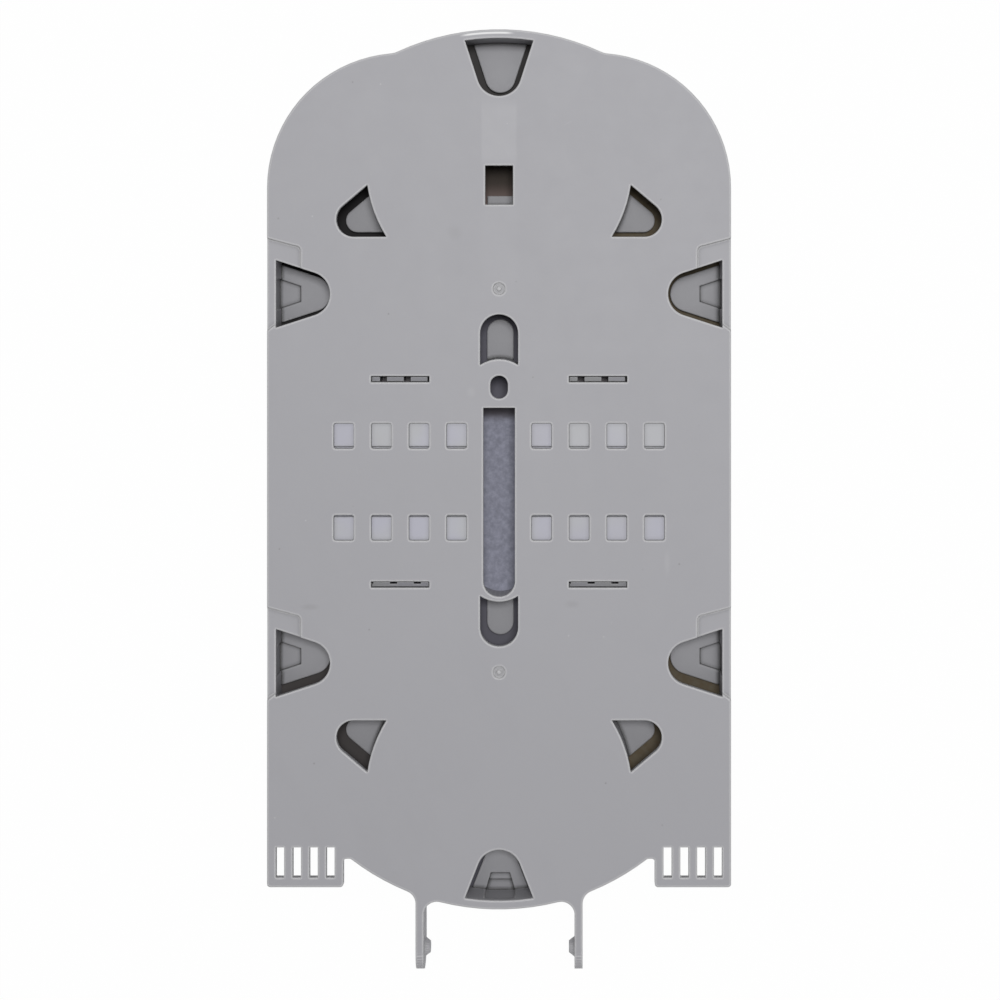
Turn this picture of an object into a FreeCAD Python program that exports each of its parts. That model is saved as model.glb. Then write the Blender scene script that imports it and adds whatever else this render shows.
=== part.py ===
import FreeCAD, Part
import math
import os
import re

import Sketcher

# Fibre splice tray, in millimetres. It lies face down: the rims of its walls rest on z = 0 and the
# flat back of its plate looks up. X runs across the tray and Y from the hinge legs to the latch end.
# Sketches are drawn about the middle of the coil layout, which the placements move to its own place.
SIZES = {
    # Outline of the moulding
    "tray_width": 98.0,
    "tray_depth": 9.0,
    "plate_thickness": 1.6,
    "wall_thickness": 1.8,
    "shoulder_reach": 90.3,
    "corner_radius": 28.5,
    "top_reach": 95.3,
    "bottom_reach": 90.6,
    "bulge_radius": 51.3,
    "bulge_blend": 4.0,
    # Cable-tie ladders at the two fibre entries
    "wall_reach": 76.4,
    "notch_reach": 79.9,
    "notch_radius": 0.7,
    "ladder_reach": 85.9,
    "ladder_width": 16.1,
    "ladder_radius": 0.7,
    "tie_slot_width": 1.75,
    "tie_slot_length": 6.4,
    "tie_slot_pitch": 3.55,
    "tie_slot_count": 4,
    "tie_slot_web": 2.0,
    # Hinge legs
    "leg_reach": 104.4,
    "leg_span": 35.3,
    "leg_thickness": 1.7,
    "leg_root_radius": 2.8,
    "nub_width": 4.2,
    "nub_tip_width": 2.4,
    "nub_height": 1.2,
    # Retention tabs on the rim and the windows over them
    "loop_middle": 0.4,
    "tab_thickness": 1.2,
    "tab_gap": 1.2,
    "side_tab_gap": 0.9,
    "top_tab_gap": 1.5,
    "side_tab_base": 14.3,
    "end_tab_base": 14.5,
    "tab_tip_radius": 4.7,
    "side_tab_reach": 11.5,
    "side_tab_place": 39.0,
    "top_tab_reach": 12.3,
    "bottom_tab_reach": 10.8,
    # Sunken trapezoids that the mould's inserts leave on the tabs
    "mark_depth": 0.35,
    "mark_base": 6.5,
    "side_mark_tip": 3.4,
    "side_mark_length": 4.3,
    "bottom_mark_tip": 4.1,
    "bottom_mark_length": 3.65,
    "step_length": 2.2,
    "step_depth": 0.4,
    # Shallow finger recess on the back beside each side tab
    "recess_depth": 0.4,
    "recess_width": 7.1,
    "recess_lead": 11.8,
    "recess_slope": 1.9,
    "recess_radius": 1.2,
    "recess_tail": 7.8,
    # Curved coil walls with their triangular tabs
    "coil_place": 66.0,
    "coil_radius": 28.1,
    "coil_wall": 1.5,
    "coil_tab_angle": 20.1,
    "coil_tab_spread": 12.0,
    "coil_tab_reach": 36.4,
    "coil_tab_radius": 3.7,
    "coil_wall_lead": 21.0,
    "coil_wall_run": 33.0,
    # Central island, its well and its two tongues
    "island_width": 10.4,
    "island_reach": 25.6,
    "island_end_radius": 7.3,
    "island_wall": 0.9,
    "well_width": 6.7,
    "well_top": 15.35,
    "well_bottom": 24.6,
    "capsule_width": 3.74,
    "capsule_length": 4.9,
    "capsule_place": 19.7,
    "tongue_window_width": 8.06,
    "tongue_window_reach": 35.1,
    # Latch at the far end
    "latch_width": 5.9,
    "latch_length": 8.3,
    "latch_place": 58.25,
    "hook_overhang": 2.2,
    "hook_stem": 1.5,
    "hook_nose": 1.2,
    "hook_gap": 0.2,
    # Round marks that the mould's gates leave on the back
    "gate_place": 40.5,
    "gate_width": 2.6,
    "gate_nib_width": 0.9,
    "gate_depth": 0.25,
    # Splice holders and the windows that hold them
    "holder_place": 20.9,
    "holder_middle": -0.3,
    "holder_base": 1.2,
    "holder_length": 44.8,
    "holder_corner": 1.5,
    "holder_gap": 0.15,
    "foot_window_width": 4.3,
    "foot_window_length": 5.4,
    "foot_window_corner": 0.5,
    "foot_pitch": 7.95,
    "foot_count": 4,
    "foot_row_place": 9.7,
    "foot_gap": 0.05,
    "foot_slit": 0.5,
    "foot_height": 1.0,
    "rail_window_width": 12.35,
    "rail_window_length": 1.32,
    "rail_place": 21.7,
    "rail_gap": 0.2,
    "rib_count": 7,
    "rib_thickness": 0.9,
    "rib_length": 38.0,
    "rib_height": 4.9,
    "lip_reach": 0.6,
    "lip_height": 0.5,
    "exit_width": 1.5,
    "exit_length": 5.0,
    "exit_place": 1.45,
    "exit_bridge": 0.8,
}

SEAT = "(tray_depth - plate_thickness)"
HALF_WIDTH = "(tray_width / 2)"
INNER_HALF = "(tray_width / 2 - wall_thickness)"
TOP_CENTRE = "(top_reach - bulge_radius)"
BOTTOM_CENTRE = "(bulge_radius - bottom_reach)"
LADDER_INNER = "(tray_width / 2 - ladder_width)"
MIDDLE_SHIFT = "(leg_reach - top_reach) / 2"
HOLDER_WIDTH = "(2 * (holder_place - island_width / 2 - holder_gap))"

doc = FreeCAD.newDocument("fibre_splice_tray")
sheet = doc.addObject("Spreadsheet::Sheet", "Sizes")


def fill_sheet():
    """Writes every size into the spreadsheet as a plain number with its own alias."""
    for row, (alias, value) in enumerate(SIZES.items(), start=1):
        sheet.set(f"A{row}", alias)
        sheet.set(f"B{row}", str(value))
        sheet.setAlias(f"B{row}", alias)
    doc.recompute()


def tied(text):
    """Writes the sheet's name before each size that an expression names."""
    return re.sub(r"[a-z]+_[a-z_]+", lambda word: "Sizes." + word.group(), text)


def number(text):
    """Works out an expression of sizes as a plain number."""
    value = sheet.evalExpression(tied(text))
    return float(getattr(value, "Value", value))


def bind(target, **properties):
    """Ties properties of an object to expressions of sizes."""
    for name, text in properties.items():
        target.setExpression(name.replace("__", "."), tied(text))


def datum(body, role):
    """Finds one of a body's own origin planes or axes."""
    return next(item for item in body.Origin.OriginFeatures if item.Role == role)


def new_sketch(body, name, role="XY_Plane", level="0", middle=("0", "0"), turn="0"):
    """Adds a sketch parallel to an origin plane, at a level, with its own middle and turn."""
    sketch = body.newObject("Sketcher::SketchObject", name)
    sketch.AttachmentSupport = [(datum(body, role), "")]
    sketch.MapMode = "FlatFace"
    bind(
        sketch,
        AttachmentOffset__Base__x=middle[0],
        AttachmentOffset__Base__y=middle[1],
        AttachmentOffset__Base__z=level,
        AttachmentOffset__Rotation__Angle=turn,
    )
    return sketch


def tie_point(sketch, geometry, point, kind, text):
    """Ties one coordinate of a sketch point to an expression of sizes."""
    index = sketch.addConstraint(Sketcher.Constraint(kind, -1, 1, geometry, point, number(text)))
    sketch.setExpression(f"Constraints[{index}]", tied(text))


def arc_side(start, end, centre, way):
    """Makes the arc from start to end about a centre, and says which of its ends comes first."""
    first, last = (start, end) if way == "left" else (end, start)
    angles = [math.atan2(point.y - centre.y, point.x - centre.x) for point in (first, last)]
    circle = Part.Circle(centre, FreeCAD.Vector(0, 0, 1), (start - centre).Length)
    return Part.ArcOfCircle(circle, *angles), (1, 2) if way == "left" else (2, 1)


def draw(sketch, path):
    """Draws one closed outline. Each corner gives x and y, and where the side that leaves it is an
    arc, also the arc's centre and whether it turns left or right."""
    corners = [FreeCAD.Vector(number(step[0]), number(step[1]), 0) for step in path]
    first = sketch.GeometryCount
    ends = []
    for place, step in enumerate(path):
        start = corners[place]
        end = corners[(place + 1) % len(path)]
        if len(step) == 2:
            sketch.addGeometry(Part.LineSegment(start, end))
            ends.append((1, 2))
        else:
            centre = FreeCAD.Vector(number(step[2]), number(step[3]), 0)
            arc, order = arc_side(start, end, centre, step[4])
            sketch.addGeometry(arc)
            ends.append(order)
    for place, step in enumerate(path):
        after = (place + 1) % len(path)
        joint = Sketcher.Constraint("Coincident", first + place, ends[place][1], first + after, ends[after][0])
        sketch.addConstraint(joint)
        tie_point(sketch, first + place, ends[place][0], "DistanceX", step[0])
        tie_point(sketch, first + place, ends[place][0], "DistanceY", step[1])
        if len(step) == 5:
            chord = corners[after] - corners[place]
            if abs(chord.x) > abs(chord.y):
                tie_point(sketch, first + place, 3, "DistanceY", step[3])
            else:
                tie_point(sketch, first + place, 3, "DistanceX", step[2])


def minus(text):
    return f"-({text})"


def rectangle(x_low, x_high, y_low, y_high):
    return [(x_low, y_low), (x_high, y_low), (x_high, y_high), (x_low, y_high)]


def rounded_rectangle(half_x, half_y, radius):
    """A rectangle about the origin with four round corners."""
    round_x, round_y = f"({half_x} - {radius})", f"({half_y} - {radius})"
    return [
        (half_x, minus(round_y)),
        (half_x, round_y, round_x, round_y, "left"),
        (round_x, half_y),
        (minus(round_x), half_y, minus(round_x), round_y, "left"),
        (minus(half_x), round_y),
        (minus(half_x), minus(round_y), minus(round_x), minus(round_y), "left"),
        (minus(round_x), minus(half_y)),
        (round_x, minus(half_y), round_x, minus(round_y), "left"),
    ]


def circle(radius):
    return [(radius, "0", "0", "0", "left"), (minus(radius), "0", "0", "0", "left")]


def pad(body, name, sketch, length, midplane=False):
    """Adds material along the sketch's normal."""
    feature = body.newObject("PartDesign::Pad", name)
    feature.Profile = sketch
    feature.Midplane = midplane
    bind(feature, Length=length)
    doc.recompute()
    return feature


def pocket(body, name, sketch, depth):
    """Takes material away below the sketch, and makes sure that some was taken."""
    before = body.Shape.Volume
    feature = body.newObject("PartDesign::Pocket", name)
    feature.Profile = sketch
    bind(feature, Length=depth)
    doc.recompute()
    if feature.Shape.Volume >= before:
        raise RuntimeError(f"{name} cuts nothing")
    return feature


def mirror(body, plane):
    """Makes a mirror in a plane for use in a repeat."""
    step = body.newObject("PartDesign::Mirrored", "mirror")
    step.MirrorPlane = (plane, [""])
    return step


def loop_plane(body):
    """Adds the plane midway between the two fibre loops, which mirrors their walls and tabs."""
    plane = body.newObject("PartDesign::Plane", "loop_plane")
    plane.AttachmentSupport = [(datum(body, "XZ_Plane"), "")]
    plane.MapMode = "FlatFace"
    bind(plane, AttachmentOffset__Base__z="-loop_middle")
    doc.recompute()
    return plane


def row(body, role, pitch, count):
    """Makes a row along one of the body's axes for use in a repeat."""
    step = body.newObject("PartDesign::LinearPattern", "row")
    step.Direction = (datum(body, role), [""])
    bind(step, Length=f"{pitch} * ({count} - 1)", Occurrences=count)
    return step


def repeat(body, name, originals, steps):
    """Repeats features by rows and mirrors, one after the other."""
    feature = body.newObject("PartDesign::MultiTransform", name)
    feature.Originals = originals
    feature.Transformations = steps
    body.Tip = feature
    doc.recompute()
    return feature


def blend(body, name, radius, chosen):
    """Rounds the upright edges that a test on their middle point chooses."""
    base = body.Tip
    edges = []
    for place, edge in enumerate(base.Shape.Edges, start=1):
        low, high = edge.Vertexes[0].Point, edge.Vertexes[-1].Point
        upright = edge.Curve.TypeId == "Part::GeomLine" and math.hypot(high.x - low.x, high.y - low.y) < 1e-6
        if upright and chosen((low + high) / 2, edge.Length):
            edges.append(f"Edge{place}")
    feature = body.newObject("PartDesign::Fillet", name)
    feature.Base = (base, edges)
    bind(feature, Radius=radius)
    doc.recompute()
    return feature


def shell(body):
    """Makes the plate with its rim wall, bulged at both ends and open at the two fibre entries."""
    shoulder = "(shoulder_reach - corner_radius)"
    middle_x = f"({HALF_WIDTH} - corner_radius)"
    block = new_sketch(body, "block_outline")
    draw(block, [
        (HALF_WIDTH, "-notch_reach"),
        (HALF_WIDTH, shoulder, middle_x, shoulder, "left"),
        (middle_x, "shoulder_reach"),
        (minus(middle_x), "shoulder_reach", minus(middle_x), shoulder, "left"),
        (minus(HALF_WIDTH), shoulder),
        (minus(HALF_WIDTH), "-notch_reach"),
    ])
    pad(body, "block", block, "tray_depth")

    top_chord = "(shoulder_reach - corner_radius / 2)"
    top_half = f"sqrt(bulge_radius ^ 2 - ({top_chord} - {TOP_CENTRE}) ^ 2)"
    top = new_sketch(body, "top_bulge_outline")
    draw(top, [
        (top_half, top_chord, "0", TOP_CENTRE, "left"),
        (minus(top_half), top_chord),
    ])
    pad(body, "top_bulge", top, "tray_depth")

    bottom_chord = "(wall_thickness - notch_reach)"
    bottom_half = f"sqrt(bulge_radius ^ 2 - ({bottom_chord} - {BOTTOM_CENTRE}) ^ 2)"
    bottom = new_sketch(body, "bottom_bulge_outline")
    draw(bottom, [
        (minus(bottom_half), bottom_chord, "0", BOTTOM_CENTRE, "left"),
        (bottom_half, bottom_chord),
    ])
    pad(body, "bottom_bulge", bottom, "tray_depth")

    inner_radius = "(bulge_radius - wall_thickness)"
    entry_y = f"({BOTTOM_CENTRE} - sqrt({inner_radius} ^ 2 - {LADDER_INNER} ^ 2))"
    open_end = "(-notch_reach - wall_thickness)"
    open_side = f"({HALF_WIDTH} + wall_thickness)"
    inner_top = "(shoulder_reach - wall_thickness)"
    hollow = new_sketch(body, "hollow_outline", level=SEAT)
    draw(hollow, [
        (open_side, open_end),
        (open_side, "-wall_reach"),
        (INNER_HALF, "-wall_reach"),
        (INNER_HALF, shoulder, middle_x, shoulder, "left"),
        (middle_x, inner_top),
        (minus(middle_x), inner_top, minus(middle_x), shoulder, "left"),
        (minus(INNER_HALF), shoulder),
        (minus(INNER_HALF), "-wall_reach"),
        (minus(open_side), "-wall_reach"),
        (minus(open_side), open_end),
        (minus(LADDER_INNER), open_end),
        (minus(LADDER_INNER), entry_y, "0", BOTTOM_CENTRE, "left"),
        (LADDER_INNER, entry_y),
        (LADDER_INNER, open_end),
    ])
    pocket(body, "hollow", hollow, SEAT)

    inner_chord = f"sqrt({inner_radius} ^ 2 - ({top_chord} - {TOP_CENTRE}) ^ 2)"
    top_hollow = new_sketch(body, "top_hollow_outline", level=SEAT)
    draw(top_hollow, [
        (inner_chord, top_chord, "0", TOP_CENTRE, "left"),
        (minus(inner_chord), top_chord),
    ])
    pocket(body, "top_hollow", top_hollow, SEAT)


def ladders(body):
    """Adds the two slotted ledges that cable ties pass through, beside the bottom bulge."""
    outline = new_sketch(body, "ladder_outline", level=SEAT)
    draw(outline, rectangle(LADDER_INNER, HALF_WIDTH, "-ladder_reach", "-notch_reach"))
    ledge = pad(body, "ladder", outline, "plate_thickness")
    repeat(body, "ladders", [ledge], [mirror(body, datum(body, "YZ_Plane"))])

    first_x = f"({HALF_WIDTH} - ladder_width / 2 - tie_slot_pitch * (tie_slot_count - 1) / 2)"
    low_y = "(tie_slot_web - ladder_reach)"
    slot = new_sketch(body, "tie_slot_outline", level="tray_depth", middle=(first_x, low_y))
    draw(slot, rectangle("-tie_slot_width / 2", "tie_slot_width / 2", "0", "tie_slot_length"))
    cut = pocket(body, "tie_slot", slot, "plate_thickness")
    steps = [row(body, "X_Axis", "tie_slot_pitch", "tie_slot_count"), mirror(body, datum(body, "YZ_Plane"))]
    repeat(body, "tie_slots", [cut], steps)


def legs(body):
    """Adds the two hinge legs, each with a rounded tip and a tapered nub on its inner side."""
    root_y = f"({BOTTOM_CENTRE} - sqrt((bulge_radius - wall_thickness / 2) ^ 2 - (leg_span / 2) ^ 2))"
    tip_y = "(tray_depth / 2 - leg_reach)"
    side = new_sketch(body, "leg_outline", role="YZ_Plane", level="-leg_span / 2")
    draw(side, [
        (root_y, "0"),
        (root_y, "tray_depth"),
        (tip_y, "tray_depth", tip_y, "tray_depth / 2", "left"),
        (tip_y, "0"),
    ])
    leg = pad(body, "leg", side, "leg_thickness")

    nub = body.newObject("PartDesign::AdditiveCone", "nub")
    nub.AttachmentSupport = [(datum(body, "YZ_Plane"), "")]
    nub.MapMode = "FlatFace"
    bind(
        nub,
        Radius1="nub_width / 2",
        Radius2="nub_tip_width / 2",
        Height="nub_height",
        AttachmentOffset__Base__x=tip_y,
        AttachmentOffset__Base__y="tray_depth / 2",
        AttachmentOffset__Base__z="leg_thickness - leg_span / 2",
    )
    doc.recompute()
    repeat(body, "legs", [leg, nub], [mirror(body, datum(body, "YZ_Plane"))])


def taper(base_x, base_half, tip_x, tip_radius):
    """Angle between a tab's middle line and the side that runs from its base to touch its round tip."""
    run = f"({tip_x} - {base_x})"
    return f"(atan({base_half} / {run}) - asin({tip_radius} / sqrt({run} ^ 2 + {base_half} ^ 2)))"


def tongue_shape(base_x, base_half, tip_x, tip_radius, angle):
    """Outline from one base corner round the tip to the other, along +X of its sketch."""
    touch_x = f"({tip_x} + {tip_radius} * sin({angle}))"
    touch_y = f"({tip_radius} * cos({angle}))"
    return [
        (base_x, minus(base_half)),
        (touch_x, minus(touch_y), tip_x, "0", "left"),
        (touch_x, touch_y),
        (base_x, base_half),
    ]


def window_and_tab(body, name, frame, base, tip, root_x, gap, base_arc=None):
    """Cuts a window through the plate and adds the smaller tab that lies under it, level with the
    rim. The frame holds the place and turn of its sketches; base and tip hold distances along it."""
    base_x, base_half = base
    tip_x, tip_radius = tip
    angle = taper(base_x, base_half, tip_x, tip_radius)
    outline = tongue_shape(base_x, base_half, tip_x, tip_radius, angle)
    if base_arc:
        outline[-1] = (base_x, base_half, base_arc[0], "0", base_arc[1])
    window_sketch = new_sketch(body, name + "_window_outline", level="tray_depth", **frame)
    draw(window_sketch, outline)
    window = pocket(body, name + "_window", window_sketch, "plate_thickness")

    tab_half = f"({base_half} - {gap} / cos({angle}))"
    tab_tip = f"({tip_radius} - {gap})"
    tab_outline = tongue_shape(base_x, tab_half, tip_x, tab_tip, angle)
    tab_sketch = new_sketch(body, name + "_tab_outline", **frame)
    draw(tab_sketch, tab_outline + [(root_x, tab_half), (root_x, minus(tab_half))])
    tab = pad(body, name + "_tab", tab_sketch, "tab_thickness")
    return [window, tab]


def insert_mark(body, name, frame, half_tip, length, depth):
    """Sinks the trapezoid that a mould insert leaves on a tab and up the wall behind it."""
    sketch = new_sketch(body, name + "_outline", level=SEAT, **frame)
    draw(sketch, [
        ("-mark_depth", "-mark_base / 2"),
        (length, minus(half_tip)),
        (length, half_tip),
        ("-mark_depth", "mark_base / 2"),
    ])
    return pocket(body, name, sketch, f"{SEAT} - tab_thickness + {depth}")


def rim_tabs(body, loops):
    """Makes the six retention tabs on the rim: two on each side and one at each end."""
    root_x = "(-wall_thickness / 2)"
    side_frame = {"middle": (INNER_HALF, "(loop_middle + side_tab_place)"), "turn": "180"}
    side_base = ("0", "(side_tab_base / 2)")
    side_tip = ("(side_tab_reach - tab_tip_radius)", "tab_tip_radius")
    side = window_and_tab(body, "side", side_frame, side_base, side_tip, root_x, "side_tab_gap")
    side.append(insert_mark(
        body, "side_mark", side_frame, "(side_mark_tip / 2)", "side_mark_length", "mark_depth"))
    repeat(body, "side_tabs", side, [mirror(body, datum(body, "YZ_Plane")), mirror(body, loops)])

    inner_radius = "(bulge_radius - wall_thickness)"
    half = "(end_tab_base / 2)"
    end_base = (f"({inner_radius} - sqrt({inner_radius} ^ 2 - {half} ^ 2))", half)
    end_arc = (inner_radius, "left")
    top_frame = {"middle": ("0", "top_reach - wall_thickness"), "turn": "-90"}
    top_tip = ("(top_tab_reach - tab_tip_radius)", "tab_tip_radius")
    window_and_tab(body, "top", top_frame, end_base, top_tip, root_x, "top_tab_gap", end_arc)
    bottom_frame = {"middle": ("0", "wall_thickness - bottom_reach"), "turn": "90"}
    bottom_tip = ("(bottom_tab_reach - tab_tip_radius)", "tab_tip_radius")
    window_and_tab(body, "bottom", bottom_frame, end_base, bottom_tip, root_x, "tab_gap", end_arc)

    insert_mark(
        body, "bottom_mark", bottom_frame, "(bottom_mark_tip / 2)", "bottom_mark_length", "mark_depth")
    slope = "(mark_base - bottom_mark_tip) / 2 / (bottom_mark_length + mark_depth)"
    half_step = f"(bottom_mark_tip / 2 + {slope} * (bottom_mark_length - step_length))"
    insert_mark(
        body, "bottom_step", bottom_frame, half_step, "step_length", "mark_depth + step_depth")


def coil_walls(body, loops):
    """Makes the four curved walls that fibre coils round, each with its triangular tab and window."""
    frame = {"middle": ("0", "(loop_middle + coil_place)"), "turn": "-coil_tab_angle"}
    inner = "(coil_radius - coil_wall)"
    centre = "(coil_radius - coil_wall / 2)"
    ahead = ("cos(coil_wall_lead)", "sin(coil_wall_lead)")
    behind = ("cos(coil_wall_run)", "-sin(coil_wall_run)")
    sketch = new_sketch(body, "coil_wall_outline", **frame)
    draw(sketch, [
        (f"coil_radius * {behind[0]}", f"coil_radius * {behind[1]}", "0", "0", "left"),
        (f"coil_radius * {ahead[0]}", f"coil_radius * {ahead[1]}",
         f"{centre} * {ahead[0]}", f"{centre} * {ahead[1]}", "left"),
        (f"{inner} * {ahead[0]}", f"{inner} * {ahead[1]}", "0", "0", "right"),
        (f"{inner} * {behind[0]}", f"{inner} * {behind[1]}",
         f"{centre} * {behind[0]}", f"{centre} * {behind[1]}", "left"),
    ])
    wall = pad(body, "coil_wall", sketch, SEAT)
    base = ("(coil_radius * cos(coil_tab_spread))", "(coil_radius * sin(coil_tab_spread))")
    tip = ("(coil_tab_reach - coil_tab_radius)", "coil_tab_radius")
    parts = window_and_tab(body, "coil", frame, base, tip, centre, "tab_gap", ("0", "right"))
    steps = [mirror(body, datum(body, "YZ_Plane")), mirror(body, loops)]
    repeat(body, "coil_walls", [wall] + parts, steps)


def island_outline(half, reach, radius):
    """A long outline about the middle, with an arc across each end."""
    centre_y = f"({reach} - {radius})"
    corner_y = f"({centre_y} + sqrt({radius} ^ 2 - {half} ^ 2))"
    return [
        (half, minus(corner_y)),
        (half, corner_y, "0", centre_y, "left"),
        (minus(half), corner_y),
        (minus(half), minus(corner_y), "0", minus(centre_y), "left"),
    ]


def island(body):
    """Makes the long middle island: a ring of wall with a tongue at each end, a well and a capsule
    hole through the plate inside it."""
    outline = new_sketch(body, "island_outline")
    draw(outline, island_outline("(island_width / 2)", "island_reach", "island_end_radius"))
    pad(body, "island", outline, SEAT)

    centre_y = "(island_reach - island_end_radius)"
    window_half = "(tongue_window_width / 2)"
    end_x = f"({centre_y} + sqrt(island_end_radius ^ 2 - {window_half} ^ 2))"
    tip_x = f"(tongue_window_reach - {window_half})"
    frame = {"turn": "90"}
    window_outline = tongue_shape(end_x, window_half, tip_x, window_half, "0")
    window_outline[-1] = (end_x, window_half, centre_y, "0", "right")
    window_sketch = new_sketch(body, "tongue_window_outline", level="tray_depth", **frame)
    draw(window_sketch, window_outline)
    window = pocket(body, "tongue_window", window_sketch, "plate_thickness")
    tongue_half = f"({window_half} - tab_gap)"
    tongue_sketch = new_sketch(body, "tongue_outline", **frame)
    draw(tongue_sketch, tongue_shape(centre_y, tongue_half, tip_x, tongue_half, "0"))
    tongue = pad(body, "tongue", tongue_sketch, "tab_thickness")
    repeat(body, "tongues", [window, tongue], [mirror(body, datum(body, "XZ_Plane"))])

    inside = new_sketch(body, "island_inside_outline", level=SEAT)
    draw(inside, island_outline(
        "(island_width / 2 - island_wall)",
        "(island_reach - island_wall)",
        "(island_end_radius - island_wall)",
    ))
    pocket(body, "island_inside", inside, SEAT)

    well_half = "(well_width / 2)"
    round_y = f"({well_half} - well_bottom)"
    well = new_sketch(body, "well_outline", level="tray_depth")
    draw(well, [
        (well_half, "well_top"),
        (minus(well_half), "well_top"),
        (minus(well_half), round_y, "0", round_y, "left"),
        (well_half, round_y),
    ])
    pocket(body, "well", well, "plate_thickness")

    capsule_half = "(capsule_width / 2)"
    straight = "((capsule_length - capsule_width) / 2)"
    capsule = new_sketch(body, "capsule_outline", level="tray_depth", middle=("0", "capsule_place"))
    draw(capsule, [
        (capsule_half, minus(straight)),
        (capsule_half, straight, "0", straight, "left"),
        (minus(capsule_half), straight),
        (minus(capsule_half), minus(straight), "0", minus(straight), "left"),
    ])
    pocket(body, "capsule_hole", capsule, "plate_thickness")


def latch(body):
    """Makes the square latch window and the hook that stands at its near edge."""
    far_y = "(latch_place + latch_length)"
    window = new_sketch(body, "latch_window_outline", level="tray_depth")
    draw(window, rectangle("-latch_width / 2", "latch_width / 2", "latch_place", far_y))
    pocket(body, "latch_window", window, "plate_thickness")

    nose_y = "(latch_place + hook_overhang)"
    profile = new_sketch(body, "hook_outline", role="YZ_Plane")
    draw(profile, [
        ("latch_place - hook_stem", SEAT),
        ("latch_place - hook_stem", "0"),
        ("latch_place", "0"),
        (nose_y, "hook_nose / 2"),
        (nose_y, "hook_nose"),
        ("latch_place", "hook_nose"),
        ("latch_place", SEAT),
    ])
    pad(body, "hook", profile, "latch_width - 2 * hook_gap", midplane=True)


def gate_marks(body):
    """Sinks the two rings, each with its nib, where the mould's gates met the back."""
    middle = ("0", "-gate_place")
    ring = new_sketch(body, "gate_mark_outline", level="tray_depth", middle=middle)
    draw(ring, circle("(gate_width / 2)"))
    draw(ring, circle("(gate_nib_width / 2)"))
    mark = pocket(body, "gate_mark", ring, "gate_depth")
    repeat(body, "gate_marks", [mark], [row(body, "Y_Axis", "2 * gate_place", "2")])


def holder_windows(body):
    """Cuts the square windows and the slots that the splice holders' feet and rails press into."""
    first_x = "(holder_place - foot_pitch * (foot_count - 1) / 2)"
    middle = (first_x, "(holder_middle - foot_row_place)")
    foot = new_sketch(body, "foot_window_outline", level="tray_depth", middle=middle)
    draw(foot, rounded_rectangle("(foot_window_width / 2)", "(foot_window_length / 2)", "foot_window_corner"))
    foot_window = pocket(body, "foot_window", foot, "plate_thickness")
    repeat(body, "foot_windows", [foot_window], [
        row(body, "X_Axis", "foot_pitch", "foot_count"),
        row(body, "Y_Axis", "2 * foot_row_place", "2"),
        mirror(body, datum(body, "YZ_Plane")),
    ])

    middle = ("holder_place", "(holder_middle - rail_place)")
    rail = new_sketch(body, "rail_window_outline", level="tray_depth", middle=middle)
    half_x, half_y = "rail_window_width / 2", "rail_window_length / 2"
    draw(rail, rectangle(minus(half_x), half_x, minus(half_y), half_y))
    rail_window = pocket(body, "rail_window", rail, "plate_thickness")
    steps = [row(body, "Y_Axis", "2 * rail_place", "2"), mirror(body, datum(body, "YZ_Plane"))]
    repeat(body, "rail_windows", [rail_window], steps)


def recesses(body):
    """Sinks the shallow recess in the back beside each side tab window."""
    edge_x = f"({HALF_WIDTH} + wall_thickness)"
    inner_x = f"({HALF_WIDTH} - recess_width)"
    turn_y = "(recess_lead - recess_slope * (recess_width - recess_radius) / recess_width - recess_radius)"
    middle = ("0", "(loop_middle - side_tab_place)")
    sketch = new_sketch(body, "recess_outline", level="tray_depth", middle=middle)
    draw(sketch, [
        (edge_x, "-recess_tail"),
        (edge_x, "recess_lead"),
        (HALF_WIDTH, "recess_lead"),
        (f"({inner_x} + recess_radius)", f"({turn_y} + recess_radius)",
         f"({inner_x} + recess_radius)", turn_y, "left"),
        (inner_x, turn_y),
        (inner_x, "0"),
        (inner_x, "-tab_tip_radius / 2"),
        (HALF_WIDTH, "-recess_tail"),
    ])
    cut = pocket(body, "recess", sketch, "recess_depth")
    steps = [row(body, "Y_Axis", "2 * side_tab_place", "2"), mirror(body, datum(body, "YZ_Plane"))]
    repeat(body, "recesses", [cut], steps)


def rounded_edges(body):
    """Rounds the outline where its bulges, legs, notches and ladders meet."""
    full = number("tray_depth") - 0.01
    shoulder_y = number("shoulder_reach - wall_thickness")
    notch_y = number("notch_reach")
    ladder_y = number("ladder_reach")
    leg_faces = [number("leg_span / 2 - leg_thickness"), number("leg_span / 2")]
    notch_x = number("tray_width / 2 - ladder_width")

    def at_leg(point):
        return min(abs(abs(point.x) - face) for face in leg_faces) < 0.01

    def in_notch(point):
        return abs(point.y + notch_y) < 0.01 and abs(point.x) < notch_x + 0.01

    blend(body, "bulge_blends", "bulge_blend", lambda point, length: point.y > shoulder_y and length > full)
    blend(body, "leg_roots", "leg_root_radius",
          lambda point, length: point.y < -notch_y and length > full and at_leg(point))
    blend(body, "ladder_corners", "ladder_radius", lambda point, length: abs(point.y + ladder_y) < 0.01)
    blend(body, "notch_corners", "notch_radius",
          lambda point, length: in_notch(point) and point.z > number("tray_depth / 2") - 0.01)


def tray():
    """The moulded tray."""
    body = doc.addObject("PartDesign::Body", "tray")
    shell(body)
    ladders(body)
    legs(body)
    rounded_edges(body)
    loops = loop_plane(body)
    rim_tabs(body, loops)
    coil_walls(body, loops)
    island(body)
    latch(body)
    gate_marks(body)
    holder_windows(body)
    recesses(body)
    bind(body, Placement__Base__y=MIDDLE_SHIFT)
    return body


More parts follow.
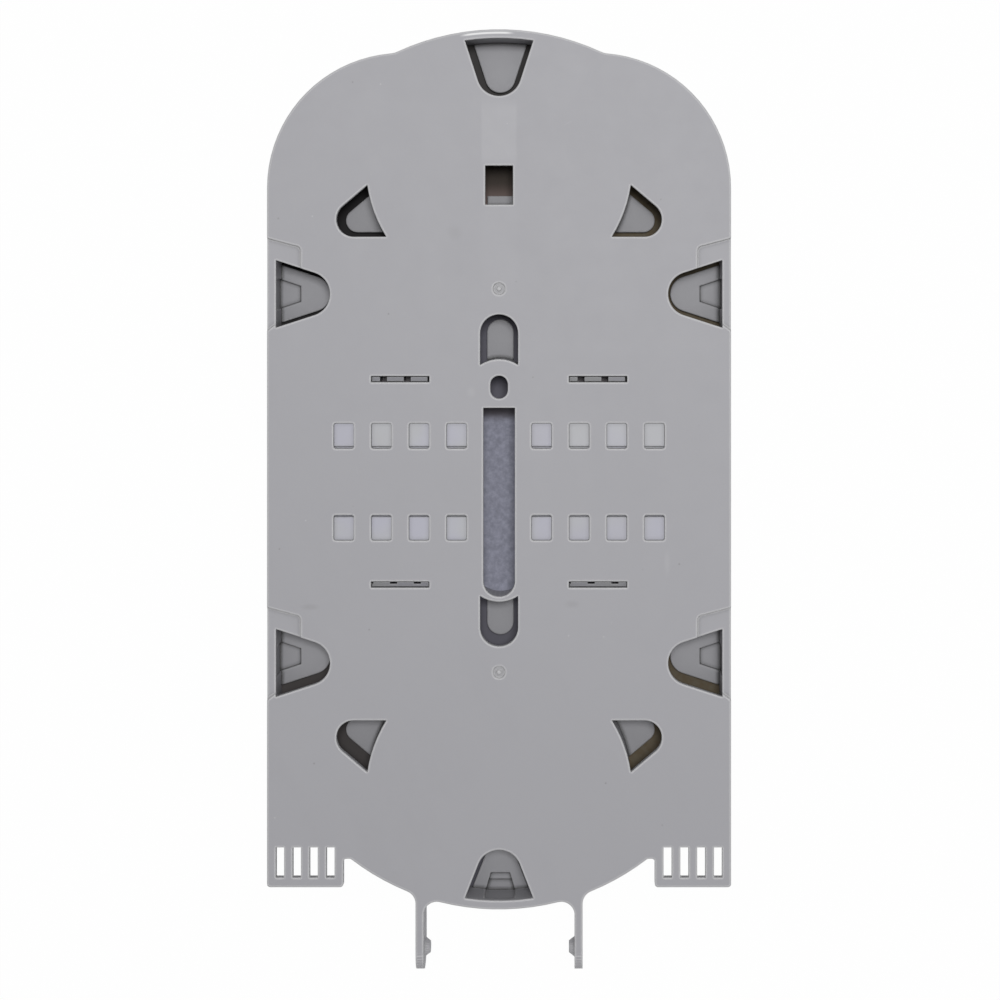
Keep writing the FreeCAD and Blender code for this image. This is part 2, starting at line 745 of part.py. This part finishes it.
def channels(body, name):
    """Adds the ribs between the splice channels, and the facing lips that hold a splice in each."""
    pitch = f"(({HOLDER_WIDTH} - rib_thickness) / (rib_count - 1))"
    rib_low = "(-holder_base - rib_height)"
    first_x = f"((rib_thickness - {HOLDER_WIDTH}) / 2)"
    rib_sketch = new_sketch(body, name + "_rib_outline", role="XZ_Plane", middle=(first_x, "0"))
    draw(rib_sketch, rectangle("-rib_thickness / 2", "rib_thickness / 2", rib_low, "-holder_base / 2"))
    rib = pad(body, name + "_rib", rib_sketch, "rib_length", midplane=True)
    repeat(body, name + "_ribs", [rib], [row(body, "X_Axis", pitch, "rib_count")])

    flank = f"({pitch} / 2 - rib_thickness / 2)"
    lip_x = f"({flank} - lip_reach)"
    lip_sketch = new_sketch(
        body, name + "_lip_outline", role="XZ_Plane", middle=(f"{first_x} + {pitch} / 2", rib_low))
    for side in ("", "-"):
        draw(lip_sketch, [
            (f"{side}{flank}", "0"),
            (f"{side}{flank}", "2 * lip_height"),
            (f"{side}{lip_x}", "lip_height"),
        ])
    lips = pad(body, name + "_lip", lip_sketch, "rib_length", midplane=True)
    repeat(body, name + "_lips", [lips], [row(body, "X_Axis", pitch, "(rib_count - 1)")])


def splice_holder(name, side):
    """One white splice holder; its seat against the plate is at z = 0 and its ribs point down."""
    body = doc.addObject("PartDesign::Body", name)
    half_x = f"({HOLDER_WIDTH} / 2)"
    half_y = "(holder_length / 2)"
    base = new_sketch(body, name + "_base_outline", level="-holder_base")
    draw(base, rounded_rectangle(half_x, half_y, "holder_corner"))
    pad(body, name + "_base", base, "holder_base")

    channels(body, name)

    rail_half = "((rail_window_length - 2 * rail_gap) / 2)"
    wall_low = "(-holder_base - rib_height + 2 * lip_height)"
    wall = new_sketch(body, name + "_end_wall_outline", level=wall_low)
    near, far = f"(rail_place - {rail_half})", f"(rail_place + {rail_half})"
    round_x = f"({half_x} - holder_corner)"
    draw(wall, rectangle(minus(round_x), round_x, near, far))
    end_wall = pad(body, name + "_end_wall", wall, minus(wall_low))
    rail_x = "(rail_window_width / 2 - rail_gap)"
    rail = new_sketch(body, name + "_rail_outline")
    draw(rail, rectangle(minus(rail_x), rail_x, near, far))
    end_rail = pad(body, name + "_rail", rail, "foot_height")
    repeat(body, name + "_ends", [end_wall, end_rail], [mirror(body, datum(body, "XZ_Plane"))])

    foot_x = "(foot_window_width / 2 - foot_gap)"
    foot_near = "(foot_slit - foot_window_length / 2)"
    foot_far = "(foot_window_length / 2 - foot_gap)"
    bend_x = "(foot_window_width / 2 - foot_window_corner)"
    bend_y = "(foot_window_length / 2 - foot_window_corner)"
    first_x = "(-foot_pitch * (foot_count - 1) / 2)"
    foot = new_sketch(body, name + "_foot_outline", middle=(first_x, "foot_row_place"))
    draw(foot, [
        (foot_x, foot_near),
        (foot_x, bend_y, bend_x, bend_y, "left"),
        (bend_x, foot_far),
        (minus(bend_x), foot_far, minus(bend_x), bend_y, "left"),
        (minus(foot_x), bend_y),
        (minus(foot_x), foot_near),
    ])
    foot_pad = pad(body, name + "_foot", foot, "foot_height")
    steps = [row(body, "X_Axis", "foot_pitch", "foot_count"), mirror(body, datum(body, "XZ_Plane"))]
    repeat(body, name + "_feet", [foot_pad], steps)

    channel_pitch = f"(({HOLDER_WIDTH} - rib_thickness) / (rib_count - 1))"
    for end, sign in (("far", 1), ("near", -1)):
        first_x = f"({sign} * (exit_place - {channel_pitch} * (rib_count - 1) / 2))"
        middle = (first_x, f"({sign} * {half_y})")
        exit_sketch = new_sketch(body, f"{name}_{end}_exit_outline", level="foot_height", middle=middle)
        low, high = ("-exit_length", "holder_corner") if sign > 0 else ("exit_bridge", "exit_length")
        draw(exit_sketch, rectangle("-exit_width / 2", "exit_width / 2", low, high))
        cut = pocket(body, f"{name}_{end}_exit", exit_sketch, "foot_height + holder_base + rib_height")
        step = row(body, "X_Axis", channel_pitch, "(rib_count - 1)")
        step.Reversed = sign < 0
        repeat(body, f"{name}_{end}_exits", [cut], [step])
    bind(
        body,
        Placement__Base__x=f"{side} * holder_place",
        Placement__Base__y=f"{MIDDLE_SHIFT} + holder_middle",
        Placement__Base__z=SEAT,
    )
    return body


def check_and_export(pieces):
    """Makes sure that nothing failed, then writes one STEP file for each piece."""
    doc.recompute()
    for item in doc.Objects:
        if "Invalid" in item.State or "Error" in item.State:
            raise RuntimeError(f"{item.Name} failed")
    for piece in pieces:
        if piece.Shape.isNull() or not piece.Shape.isValid() or len(piece.Shape.Solids) != 1:
            raise RuntimeError(f"{piece.Label} is not one sound solid")
    os.makedirs("parts", exist_ok=True)
    for piece in pieces:
        piece.Shape.exportStep(f"parts/{piece.Label}.step")
        box = piece.Shape.BoundBox
        print(piece.Label, round(piece.Shape.Volume, 1), [round(value, 2) for value in (
            box.XMin, box.YMin, box.ZMin, box.XMax, box.YMax, box.ZMax)])


fill_sheet()
check_and_export([tray(), splice_holder("splice_holder_left", -1), splice_holder("splice_holder_right", 1)])
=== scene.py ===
# %% [markdown]
# # A fibre splice tray, lying face down
# A splice tray is one thin plastic moulding that keeps loops of optical fibre in order.
# Here it lies on its rims with its flat back up, and we look straight down on that back.
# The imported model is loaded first, as a fixed frame: every size comes from it, in metres.

# %% Load the model
import math

import bpy
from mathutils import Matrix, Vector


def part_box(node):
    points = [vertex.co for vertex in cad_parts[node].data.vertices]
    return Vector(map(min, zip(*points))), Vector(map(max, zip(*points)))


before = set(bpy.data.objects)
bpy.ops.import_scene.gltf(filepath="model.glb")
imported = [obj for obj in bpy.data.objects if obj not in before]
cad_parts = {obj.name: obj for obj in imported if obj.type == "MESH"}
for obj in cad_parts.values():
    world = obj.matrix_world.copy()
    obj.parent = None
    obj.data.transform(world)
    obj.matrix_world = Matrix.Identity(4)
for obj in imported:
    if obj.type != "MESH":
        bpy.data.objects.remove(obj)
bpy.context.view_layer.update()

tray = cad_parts["tray"]
holders = [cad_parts["splice_holder_left"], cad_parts["splice_holder_right"]]
back_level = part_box("tray")[1].z

TOP_REACH = 0.0953          # from the middle of the coil layout to the far rim
layout_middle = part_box("tray")[1].y - TOP_REACH
print("back", round(back_level * 1000, 2), "mm up")
print("coil layout moved", round(layout_middle * 1000, 2), "mm from the middle of the frame")

# %% [markdown]
# ## Where the camera stands
# The photograph was taken from straight above, a little right of the middle and towards the
# top edge, which is why more of the left and lower walls shows inside the windows.
# A lens shift keeps the tray in the middle of the picture, as a cropped photograph does:
# turning the camera instead would make the two long sides run together.

# %% Place the camera
PICTURE_WIDTH = 0.2112      # metres of the back face across the picture
VIEW_DISTANCE = 0.403       # from the lens to the back face
CAMERA_OFFSET = (0.0148, 0.0440)    # to the right and up the picture from its middle
PICTURE_MIDDLE = (0.0002, layout_middle - 0.0041)

lens = bpy.data.cameras.new("lens")
camera = bpy.data.objects.new("camera", lens)
bpy.context.scene.collection.objects.link(camera)
bpy.context.scene.camera = camera
lens.sensor_width = 36.0
lens.lens = lens.sensor_width * VIEW_DISTANCE / PICTURE_WIDTH
lens.shift_x = -CAMERA_OFFSET[0] / PICTURE_WIDTH
lens.shift_y = -CAMERA_OFFSET[1] / PICTURE_WIDTH
camera.location = (
    PICTURE_MIDDLE[0] + CAMERA_OFFSET[0],
    PICTURE_MIDDLE[1] + CAMERA_OFFSET[1],
    back_level + VIEW_DISTANCE,
)
print("lens", round(lens.lens, 1), "mm, shift", round(lens.shift_x, 3), round(lens.shift_y, 3))

# %% [markdown]
# ## Writing a finish as arithmetic
# A procedural finish is a graph of nodes. Drawn by hand it soon becomes a tangle, so each
# output is wrapped in a small class that knows +, - and *. A line of Python then adds the
# Math nodes that it stands for, and one method adds every other kind of node.

# %% Wires
class Wire:
    """One output of a node, which can be added, multiplied and compared as a number can."""

    def __init__(self, finish, socket):
        self.finish = finish
        self.socket = socket

    def reckon(self, sign, first, second):
        return self.finish.node("ShaderNodeMath", {"operation": sign}, {0: first, 1: second})

    def __add__(self, other):
        return self.reckon("ADD", self, other)

    def __sub__(self, other):
        return self.reckon("SUBTRACT", self, other)

    def __rsub__(self, other):
        return self.reckon("SUBTRACT", other, self)

    def __mul__(self, other):
        return self.reckon("MULTIPLY", self, other)

    __radd__ = __add__
    __rmul__ = __mul__

    def largest(self, other):
        return self.reckon("MAXIMUM", self, other)

    def size(self):
        """The number without its sign."""
        return self.finish.node("ShaderNodeMath", {"operation": "ABSOLUTE"}, {0: self})

    def rise(self, start, end):
        """0 up to start and 1 from end on, with a soft step between them."""
        return self.finish.node(
            "ShaderNodeMapRange",
            {"interpolation_type": "SMOOTHSTEP"},
            {"Value": self, "From Min": start, "From Max": end},
        )

    def within(self, limit, soft):
        """1 up to a limit and 0 past it, over a soft edge."""
        return 1 - self.rise(limit - soft, limit + soft)

    def between(self, low, high, soft):
        """1 between low and high, and 0 past them, over a soft edge."""
        return self.rise(low - soft, low + soft) * self.within(high, soft)


print("a wire adds, subtracts and multiplies as a number does")

# %% Finishes
class Finish:
    """A node tree being wired: of a material, or of the world."""

    def __init__(self, owner):
        owner.use_nodes = True
        self.owner = owner
        self.tree = owner.node_tree
        self.tree.nodes.clear()

    def node(self, kind, settings=None, sockets=None, output=0):
        """Adds a node, sets it, feeds its sockets, and returns one of its outputs."""
        made = self.tree.nodes.new(kind)
        for name, value in (settings or {}).items():
            setattr(made, name, value)
        for name, value in (sockets or {}).items():
            if isinstance(value, Wire):
                self.tree.links.new(value.socket, made.inputs[name])
            else:
                made.inputs[name].default_value = value
        return Wire(self, made.outputs[output]) if made.outputs else made

    def mix(self, share, first, second):
        """A colour between first and second."""
        return self.node(
            "ShaderNodeMix", {"data_type": "RGBA"}, {0: share, 6: first, 7: second}, 2
        )

    def noise(self, place, scale, detail, roughness=0.5):
        return self.node(
            "ShaderNodeTexNoise",
            {},
            {"Vector": place, "Scale": scale, "Detail": detail, "Roughness": roughness},
        )

    def drawn_out(self, place, size, turn):
        """The place counted in steps of a size along each axis, turned about the upright."""
        return self.node(
            "ShaderNodeMapping",
            {"vector_type": "TEXTURE"},
            {"Vector": place, "Scale": size, "Rotation": (0.0, 0.0, math.radians(turn))},
        )

    def distance(self, across, along):
        """How far a point is from the origin of two measures."""
        joined = self.node("ShaderNodeCombineXYZ", {}, {0: across, 1: along})
        return self.node("ShaderNodeVectorMath", {"operation": "LENGTH"}, {0: joined}, 1)

    def looked_at(self):
        """1 for the rays that look at the background, in glass and gloss too, and 0 for light."""
        path = self.node("ShaderNodeLightPath").socket.node.outputs
        seen = Wire(self, path["Is Camera Ray"]) + Wire(self, path["Is Glossy Ray"])
        return seen + Wire(self, path["Is Transmission Ray"])


def grey(level):
    return (level, level, level, 1.0)


print("finishes are written as sums of wires")

# %% [markdown]
# ## The tray's grey plastic
# The tray is moulded in matte grey ABS. Seen close, it isn't one grey: the melt leaves a
# faint cloudiness, the mould's spark-eroded face leaves a fine grain, and handling leaves
# specks, rubbed spots and hair-thin scratches. Its edges carry a painted highlight, a little
# paler, with some rubbing, and its deep wells and inner corners carry painted shade. All of
# it could be painted on by hand, but a rule for each mark covers every side at once. The
# rules follow the piece's own coordinates, so the marks stay put from any side.

# %% Measures that the finish follows
RAYS = 5                    # that a bevel or a crevice looks along: more is smoother but slower


def places(finish):
    """The place on the piece, and its x, y and z measured from the middle of the coil layout."""
    place = finish.node("ShaderNodeTexCoord", output=3)
    split = finish.node("ShaderNodeSeparateXYZ", {}, {0: place})
    across, along, up = [Wire(finish, socket) for socket in split.socket.node.outputs]
    return place, (across, along - layout_middle, up)


def face_normal(finish):
    return finish.node("ShaderNodeNewGeometry", output=3)


def highlit_edge(finish, radius):
    """1 along a piece's edges, for a painted highlight, and the normal rounding them for light.
    """
    rounded = finish.node("ShaderNodeBevel", {"samples": RAYS}, {"Radius": radius})
    sockets = {0: rounded, 1: face_normal(finish)}
    alike = finish.node("ShaderNodeVectorMath", {"operation": "DOT_PRODUCT"}, sockets, 1)
    return (1 - alike).rise(0.0003, 0.004), rounded


def crevice(finish, reach):
    """How much of the sky a point loses to walls within reach: 0 in the open, 1 in a crack."""
    settings = {"samples": RAYS}
    return 1 - finish.node("ShaderNodeAmbientOcclusion", settings, {"Distance": reach}, 1)


def levelness(finish):
    """1 on a level face and 0 on an upright one."""
    return finish.node("ShaderNodeSeparateXYZ", {}, {0: face_normal(finish)}, 2).size()


print("edges come from the rounded normal, crevices from the sky that walls hide")

# %% Spots, specks and scratches
def spots(finish, x, y, rows):
    """Soft spots, each with its middle and its reach in mm, its softness and its strength."""
    total = 0
    for middle, reach, soft, strength in rows:
        across = (x - middle[0] / 1000) * (1000 / reach[0])
        along = (y - middle[1] / 1000) * (1000 / reach[1])
        inside = 1 - finish.distance(across, along).rise(1 - soft, 1.0)
        total = inside * strength + total
    return total


def specks(finish, place, cells, share, radius):
    """Small round dots, in a share of the cells of a random pattern."""
    settings = {"feature": "F1"}
    near = finish.node("ShaderNodeTexVoronoi", settings, {"Vector": place, "Scale": cells})
    chance = Wire(finish, near.socket.node.outputs[1])
    lot = finish.node("ShaderNodeSeparateColor", {}, {0: chance})
    return (1 - near.rise(radius * 0.5, radius)) * lot.rise(1 - share, 1.001 - share)


def scratches(finish, place, turn, width, length, rarity):
    """Hair-thin lines: a noise drawn out in one direction, cut off near its peaks."""
    drawn = finish.drawn_out(place, (width, length, length), turn)
    return finish.noise(drawn, scale=1.0, detail=1.0).rise(rarity, rarity + 0.02)


print("specks come from cells, scratches from a drawn-out noise")

# %% [markdown]
# ## Marks, layer by layer
# A finish is built as a painter builds one: a base grey with its clouds, then dark marks,
# pale marks, scratches, painted highlights on the edges and last the painted shade, each laid
# over the one before.
# First every layer is measured as a number from 0 to 1. The spots stand where the
# photograph shows them. The glint on the far rim and the outline of the floor's shade,
# further on, both follow the round bulges that the coils of fibre give to the rim.

# %% Measure the layers of the grey plastic
BULGE = 0.0504              # radius of the rim's round bulges
UPPER_BULGE = 0.0440        # their middles along y
LOWER_BULGE = -0.0393
TRAY_EDGE = 0.0006          # how far from an edge the tray's highlight is painted and its edges rounded

plastic = Finish(bpy.data.materials.new("tray_grey_abs"))
place, (x, y, z) = places(plastic)
turned = plastic.drawn_out(place, (1.0, 1.0, 1.0), turn=33.0)

clouds = plastic.noise(place, scale=28.0, detail=4.0, roughness=0.6)
patches = plastic.noise(place, scale=160.0, detail=3.0, roughness=0.65)
grain = plastic.noise(place, scale=2600.0, detail=2.0, roughness=0.6)
wiped = plastic.drawn_out(place, (0.006, 0.022, 0.02), turn=24.0)
smears = plastic.noise(wiped, scale=1.0, detail=3.0)

dark_specks = specks(plastic, place, cells=260.0, share=0.16, radius=0.07)
pale_specks = specks(plastic, turned, cells=330.0, share=0.10, radius=0.06)
hairlines = scratches(plastic, place, turn=14.0, width=0.0009, length=0.018, rarity=0.83)
hairlines = hairlines.largest(
    scratches(plastic, place, turn=-62.0, width=0.0008, length=0.014, rarity=0.82)
)
print("clouds, specks and scratches:", len(plastic.tree.nodes), "nodes")

# %% Measure the edges, the corners and the spots
on_back = z.rise(0.0050, 0.0070)
level = levelness(plastic)
edge_highlight, rounded = highlit_edge(plastic, TRAY_EDGE)
# Painted shade: wells and inner corners darken by how much sky their walls hide.
deep_shade = crevice(plastic, 0.0100) * (0.05 + 0.95 * level)
corner_shade = crevice(plastic, 0.0010).rise(0.03, 0.40)
corner_shade = corner_shade * (0.85 - on_back * 0.40) * (0.25 + 0.75 * level)

dark_marks = spots(plastic, x, y, [
    ((-9.3, 52.3), (2.2, 2.2), 0.9, 0.10),
    ((-39.9, -26.7), (2.6, 0.9), 0.8, 0.16),
    ((15.4, -26.1), (2.2, 1.1), 0.9, 0.14),
])
pale_marks = spots(plastic, x, y, [
    ((35.5, -17.4), (0.9, 3.6), 0.9, 0.10),
    ((-5.9, 18.7), (1.4, 1.6), 0.9, 0.10),
])
dusty = spots(plastic, x, y, [
    ((0.0, 73.0), (17.0, 10.0), 0.5, 1.0),
    ((45.0, 37.5), (4.0, 5.0), 0.5, 1.0),
])
dust = specks(plastic, turned, cells=420.0, share=0.30, radius=0.13) * dusty
# A painted glint along the far rim, where its rounded edge would catch the lamp.
on_far_rim = x.between(-0.0074, 0.0024, 0.0012) * y.rise(0.090, 0.091)
glint = plastic.distance(x, y - UPPER_BULGE).between(BULGE, BULGE + 0.0004, 0.0001)
print("with edges, corners and spots:", len(plastic.tree.nodes), "nodes")

# %% Lay the layers over each other
MIDDLE_GREY = (0.352, 0.350, 0.372, 1.0)
GRIME = (0.16, 0.155, 0.15, 1.0)

shade = 0.90 + clouds * 0.08 + patches * 0.05 + smears * 0.05 + grain * 0.02
tone = plastic.mix(shade, grey(0.0), MIDDLE_GREY)
tone = plastic.mix(dark_specks * 0.45 + dark_marks, tone, GRIME)
tone = plastic.mix(pale_specks * 0.5 + dust * 0.4 + pale_marks, tone, grey(0.6))
tone = plastic.mix(hairlines * 0.08, tone, grey(0.6))
# Painted highlights: edges made paler, most on the back, with some rubbing, and the rim glint.
tone = plastic.mix(edge_highlight * (0.20 + on_back * 0.37) + glint * on_far_rim, tone, grey(0.78))
# Painted shade: the deep wells and inner corners are darkened towards black.
tone = plastic.mix(deep_shade * 0.46 + corner_shade * (1 - on_back * edge_highlight), tone, grey(0.02))
print("colour mixed:", len(plastic.tree.nodes), "nodes")

# %% [markdown]
# ## Its gloss
# One band down the middle of the upper half is shinier, where the mould was polished for
# the latch, and its colour carries a painted sheen that makes it a touch paler. Gloss belongs
# in the roughness, so that the band shines where it mirrors the light, and the grain belongs
# in the bump, far too shallow to see from the side. Both plastics end in the same shader, so
# one function wires it for them.

# %% A plastic's relief and shader
def relief(finish, strength, depth, height, rounded):
    """The normal of a grained face whose edges are rounded."""
    sockets = {"Strength": strength, "Distance": depth, "Height": height, "Normal": rounded}
    return finish.node("ShaderNodeBump", {}, sockets)


def mould(finish, pieces, colour, roughness, normal):
    """Ends a finish with a plastic's shader, and puts it on its pieces."""
    sockets = {"Base Color": colour, "Roughness": roughness, "Normal": normal, "IOR": 1.5}
    surface = finish.node("ShaderNodeBsdfPrincipled", {}, sockets)
    finish.node("ShaderNodeOutputMaterial", {}, {"Surface": surface})
    for piece in pieces:
        piece.material_slots[0].material = finish.owner
        print(piece.name, "finished with", len(finish.tree.nodes), "nodes")


# %% Mould the tray
BAND = 0.0037               # half the width of the polished band

# Painted sheen: both bands are mixed a little paler, besides their lower roughness.
polished_sheen_band = x.between(-BAND, BAND, 0.0003) * y.between(0.0670, 0.0797, 0.0020)
rubbed_sheen_band = x.between(-BAND, BAND, 0.0008) * y.between(0.0385, 0.0590, 0.0060)
height = grain * 0.5 + patches * 1.2 - hairlines * 0.5
mould(
    plastic,
    [tray],
    colour=plastic.mix(polished_sheen_band * 0.010 + rubbed_sheen_band * 0.004, tone, grey(0.9)),
    roughness=0.5 + patches * 0.12 - polished_sheen_band * 0.05 - rubbed_sheen_band * 0.01 - hairlines * 0.1,
    normal=relief(plastic, 0.35, 0.00004, height, rounded),
)

# %% [markdown]
# ## The holders' white plastic
# Each comb holder is a separate white moulding pushed in from the front. Only its feet
# and its base show, through small windows that shade them, so its white is written well
# below clean white, as painted shade. It isn't even: parts of it lean to blue, parts to a
# warm grey, and dust specks lie on it. Its corners and the rails in the narrow slits are
# painted darker still, as painted shade, and its edges carry a painted highlight. The two
# holders are one moulding used twice, so they share one finish.

# %% Mould the holders
# Painted shade: these are white plastic's colours written darker for the windows' shade.
WHITE = (0.422, 0.427, 0.452, 1.0)
BLUISH = (0.412, 0.412, 0.478, 1.0)
YELLOWED = (0.385, 0.38, 0.37, 1.0)
DUST = (0.25, 0.24, 0.22, 1.0)
HOLDER_EDGE = 0.0003        # how far from an edge a holder's highlight is painted and its edges rounded

white = Finish(bpy.data.materials.new("holder_white_abs"))
place, (x, y, _) = places(white)
clouds = white.noise(place, scale=60.0, detail=3.0, roughness=0.6)
grain = white.noise(place, scale=3000.0, detail=2.0, roughness=0.6)
tinge = white.noise(place, scale=90.0, detail=1.0).rise(0.40, 0.60)
dust = specks(white, place, cells=420.0, share=0.2, radius=0.08)
edge_highlight, rounded = highlit_edge(white, HOLDER_EDGE)
slit_shade = (y + 0.0003).size().rise(0.0190, 0.0195)

tone = white.mix(tinge, WHITE, BLUISH)
tone = white.mix(clouds.rise(0.35, 0.75) * 0.3, tone, YELLOWED)
tone = white.mix(dust * 0.4, tone, DUST)
# Painted shade on the rails in the slits and in the corners.
tone = white.mix(slit_shade * 0.55 + crevice(white, 0.0010) * 0.4, tone, grey(0.03))
# Painted highlight along the edges.
tone = white.mix(edge_highlight * 0.3, tone, grey(0.7))
mould(
    white,
    holders,
    colour=tone,
    roughness=0.42 + clouds * 0.12,
    normal=relief(white, 0.3, 0.00003, grain, rounded),
)

# %% [markdown]
# ## The table
# The photograph shows a white ground round the tray and the shaded table through its
# openings. A plain pale floor gives the ground: to the camera, the open floor glows white.
# Under the tray it lies in the tray's shade and is painted darker still, partly in the table's
# tints and partly as painted shade. A cut-out picture pasted behind the tray would do for
# this one view, and fail from every other.

# %% Lay the floor
bpy.ops.object.select_all(action="DESELECT")
bpy.ops.mesh.primitive_plane_add(size=6.0, location=(0.0, 0.0, 0.0))
floor = bpy.context.object
floor.name = "floor"
print("floor laid at the level of the rims")

# %% Find the floor under the tray
SHOULDER = (0.0205, 0.0618)         # middle of the rounded upper corners
SHOULDER_RADIUS = 0.0276
SIDE = 0.0482                       # half the width that the tray covers
SOFT = 0.0005

table = Finish(bpy.data.materials.new("pale_table"))
place, (x, y, _) = places(table)
past_shoulder = (x.size() - SHOULDER[0]).largest(0.0), (y - SHOULDER[1]).largest(0.0)
under_body = table.distance(*past_shoulder).within(SHOULDER_RADIUS, SOFT)
under_body = under_body * y.rise(-0.0776, -0.0766)
under_upper = table.distance(x, y - UPPER_BULGE).within(BULGE, SOFT)
under_lower = table.distance(x, y - LOWER_BULGE).within(BULGE, SOFT)
under_tray = under_body.largest(under_upper.largest(under_lower))
under_tray = under_tray * x.between(-SIDE, SIDE, SOFT)
print("the tray's outline is drawn on the floor with", len(table.tree.nodes), "nodes")

# %% [markdown]
# ## The colours in the shade
# What shows through the openings isn't one grey. It is dark brown to the left, olive to
# the right, bluish in the long slot and reddish brown under the latch. So the floor
# under the tray is painted in a few soft areas, each a little larger than its opening.
# Their darkness is largely painted shade, deepest towards the top where the walls cast
# shadow, and under the narrow slits the floor is painted pale, as painted light.

# %% Mix the shade's colours
blotches = table.noise(place, scale=700.0, detail=3.0, roughness=0.7).rise(0.3, 0.75)


def fade(measure, first, second):
    """A colour that passes from first to second, each given by its red, green and blue."""
    return table.mix(measure, (*first, 1.0), (*second, 1.0))


# Painted shade: the left, middle, latch and slot tones darken towards the walls at the top.
left_side = fade(y.rise(-0.05, 0.05), (0.072, 0.066, 0.065), (0.030, 0.029, 0.030))
right_side = fade(blotches, (0.125, 0.108, 0.080), (0.110, 0.085, 0.055))
middle = fade(y.rise(0.070, 0.075), (0.130, 0.127, 0.150), (0.065, 0.062, 0.061))
by_latch = fade(y.rise(0.0585, 0.0640), (0.200, 0.152, 0.142), (0.058, 0.049, 0.043))
in_slot = fade(blotches, (0.23, 0.235, 0.285), (0.33, 0.335, 0.41))
# Painted shadow of the slot's upper end.
in_slot = table.mix(y.rise(0.0115, 0.0140) * 0.90, in_slot, (0.10, 0.09, 0.10, 1.0))
# Painted light: the floor under the narrow slits is made pale.
painted_light_by_slits = (0.42, 0.40, 0.42, 1.0)
print("six areas of shade mixed")

# %% Paint the shade, and make the open floor glow
PALE = 0.75
GLOW = 0.98                 # of the camera's view of the open floor: the rest keeps the shadow

shaded = table.mix(x.rise(-0.01, 0.01), left_side, right_side)
for area, paint in (
    (x.between(-0.009, 0.009, 0.001), middle),
    (x.between(-0.005, 0.005, SOFT) * y.between(0.056, 0.069, 0.001), by_latch),
    (x.size().between(0.014, 0.030, 0.0003) * y.size().between(0.018, 0.024, 0.0003), painted_light_by_slits),
    (x.between(-0.0052, 0.0052, SOFT) * y.between(-0.0264, 0.0158, 0.0003), in_slot),
):
    shaded = table.mix(area, shaded, paint)

tone = table.mix(under_tray, grey(PALE), shaded)
matte = table.node("ShaderNodeBsdfDiffuse", {}, {"Color": tone})
glow = table.node("ShaderNodeEmission", {}, {"Color": grey(1.0), "Strength": 1.0})
share = table.looked_at() * (1 - under_tray) * GLOW
ground = table.node("ShaderNodeMixShader", {}, {0: share, 1: matte, 2: glow})
table.node("ShaderNodeOutputMaterial", {}, {"Surface": ground})
floor.data.materials.append(table.owner)
print("floor painted with", len(table.tree.nodes), "nodes")

# %% [markdown]
# ## The light
# The windows' lower edges are bright and their upper edges dark, so the light comes
# from beyond the top of the picture: a soft panel there, and an even sky that fills the
# shadows. Together they are set to show a colour about as it is written. A brighter lamp
# would whiten the ground too, but it would also wash out the grey.

# %% Hang the lamp
LAMP_WATTS = 5.60
LAMP_PLACE = (0.07, 0.20, 0.94)
LAMP_SIZE = (0.30, 0.26)

panel = bpy.data.lights.new("soft_panel", "AREA")
panel.shape = "RECTANGLE"
panel.size, panel.size_y = LAMP_SIZE
panel.energy = LAMP_WATTS
lamp = bpy.data.objects.new("soft_panel", panel)
bpy.context.scene.collection.objects.link(lamp)
lamp.location = LAMP_PLACE
lamp.rotation_euler = lamp.location.to_track_quat("Z", "Y").to_euler()
print("lamp", LAMP_WATTS, "W")

# %% Fill the sky
SKY = 0.32                  # its strength as light: what looks at it sees plain white

sky = Finish(bpy.data.worlds.new("studio"))
bpy.context.scene.world = sky.owner
strength = SKY + sky.looked_at() * (1 - SKY)
light = sky.node("ShaderNodeBackground", {}, {"Color": grey(1.0), "Strength": strength})
sky.node("ShaderNodeOutputWorld", {}, {"Surface": light})
bpy.context.scene.view_settings.view_transform = "Standard"
print("sky", SKY)
